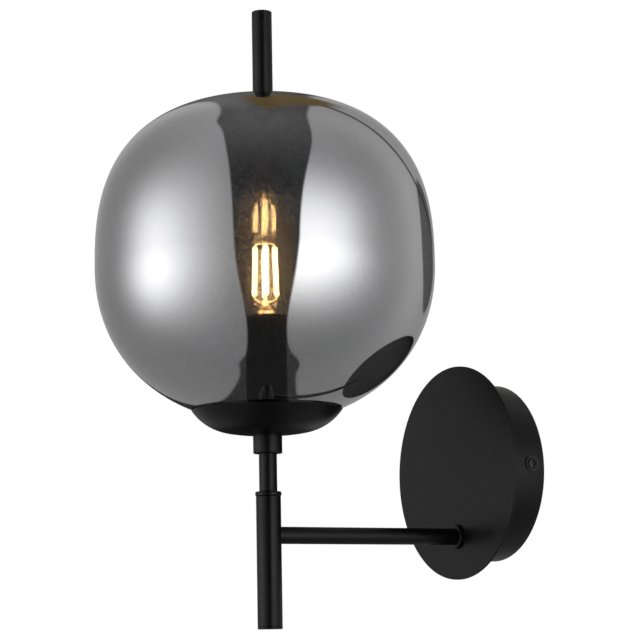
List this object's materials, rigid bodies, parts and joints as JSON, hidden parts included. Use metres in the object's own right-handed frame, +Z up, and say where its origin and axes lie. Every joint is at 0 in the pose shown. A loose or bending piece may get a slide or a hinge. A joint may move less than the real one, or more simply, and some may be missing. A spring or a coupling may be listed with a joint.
{
  "type": "globe wall sconce",
  "caption": "Wall light with a smoked glass globe on a dish, a rod on its crown, an upright, a straight arm and a round canopy; the globe lifts off and the bulb screws out.",
  "frame": {"origin": "centre of the round canopy on the wall plane, midway between the wall bracket's two slots", "axes": "+Z up, the wall is the plane Y = 0 and the lamp stands out towards -Y, +X to the right for someone facing the wall"},
  "size_m": [0.2, 0.258, 0.3664],
  "materials": {
    "black_coat": "satin fine-textured black powder coat",
    "zinc_steel": "zinc-plated steel",
    "spring_steel": "blued spring steel",
    "brass": "plain turned brass",
    "nickel": "nickel-plated brass",
    "solder": "dull solder",
    "smoked_glass": "smoke-grey mirrored clear glass",
    "bulb_glass": "clear thin glass",
    "glowing_filament": "lit phosphor-coated filament",
    "lead_metal": "drawn wire",
    "black_glass": "black glass insulator",
    "circuit_board": "green board",
    "white_plastic": "white polyamide",
    "phenolic": "black moulded phenolic",
    "soft_seal": "soft black silicone",
    "wire_sleeve": "smooth sleeve",
    "earth_sleeve": "smooth sleeve"
  },
  "bodies": {
    "lamp": {"arm_lock_nut": "zinc_steel", "arm_lock_washer": "zinc_steel", "arm_ring": "black_coat", "arm_tube": "black_coat", "block_screws": "zinc_steel", "candle_sleeve": "black_coat", "canopy_box": "black_coat", "centre_contact": "brass", "clamp_screws": "zinc_steel", "clip_rivets": "zinc_steel", "collar": "black_coat", "disc_stud": "zinc_steel", "disc_stud_nut": "zinc_steel", "disc_stud_washer": "zinc_steel", "dish": "black_coat", "dish_lock_nut": "zinc_steel", "dish_lock_washer": "zinc_steel", "earth_screw": "brass", "earth_tag": "brass", "earth_washer": "zinc_steel", "earth_wire": "earth_sleeve", "front_disc": "black_coat", "gallery_plate": "zinc_steel", "gallery_spacer": "zinc_steel", "glass_gasket": "soft_seal", "lamp_wires": "wire_sleeve", "lampholder_base": "zinc_steel", "lampholder_body": "phenolic", "lampholder_screw": "zinc_steel", "neck_tube": "black_coat", "post_screws": "zinc_steel", "spring_clips": "spring_steel", "terminal_block": "white_plastic", "terminal_inserts": "brass", "terminal_posts": "brass", "threaded_nipple": "zinc_steel", "threaded_shell": "brass", "upright_end_cap": "black_coat", "upright_top_bush": "black_coat", "upright_tube": "black_coat", "wall_bracket": "zinc_steel"},
    "globe": {"glass_globe": "smoked_glass", "crown_washer": "soft_seal", "finial_rod": "black_coat", "crown_stud": "zinc_steel", "inner_pad": "soft_seal", "inner_washer": "zinc_steel", "crown_nut": "zinc_steel"},
    "bulb_tip": {"bulb_contact": "solder"},
    "bulb": {"bulb_cap": "nickel", "bulb_insulator": "black_glass", "bulb_envelope": "bulb_glass", "bulb_stem": "bulb_glass", "bulb_filaments": "glowing_filament", "bulb_leads": "lead_metal", "bulb_driver": "circuit_board"},
    "right_washer": {"side_washer_right": "black_coat"},
    "right_screw": {"side_screw_right": "black_coat"},
    "left_washer": {"side_washer_left": "black_coat"},
    "left_screw": {"side_screw_left": "black_coat"}
  },
  "joints": [
    {"name": "globe_lift", "type": "slide", "parent": "lamp", "child": "globe", "axis": [0, 0, 1], "range_m": [0, 0.135]},
    {"name": "bulb_rise", "type": "slide", "parent": "lamp", "child": "bulb_tip", "axis": [0, 0, 1], "range_m": [0, 0.0127]},
    {"name": "bulb_turn", "type": "hinge", "parent": "bulb_tip", "child": "bulb", "pos_m": [0, -0.158, 0], "axis": [0, 0, 1], "range_deg": [0, 1620]},
    {"name": "right_screw_travel", "type": "slide", "parent": "lamp", "child": "right_washer", "axis": [1, 0, 0], "range_m": [0, 0.006]},
    {"name": "right_screw_turn", "type": "hinge", "parent": "right_washer", "child": "right_screw", "pos_m": [0.054, -0.009, 0.002], "axis": [1, 0, 0], "range_deg": [0, 3086]},
    {"name": "left_screw_travel", "type": "slide", "parent": "lamp", "child": "left_washer", "axis": [-1, 0, 0], "range_m": [0, 0.006]},
    {"name": "left_screw_turn", "type": "hinge", "parent": "left_washer", "child": "left_screw", "pos_m": [-0.054, -0.009, 0.002], "axis": [-1, 0, 0], "range_deg": [0, 3086]}
  ],
  "couplings": [
    {"joint": "bulb_rise", "follows": "bulb_turn", "m_per_rad": 0.00044914},
    {"joint": "right_screw_turn", "follows": "right_screw_travel", "rad_per_m": 8976},
    {"joint": "left_screw_turn", "follows": "left_screw_travel", "rad_per_m": 8976}
  ]
}
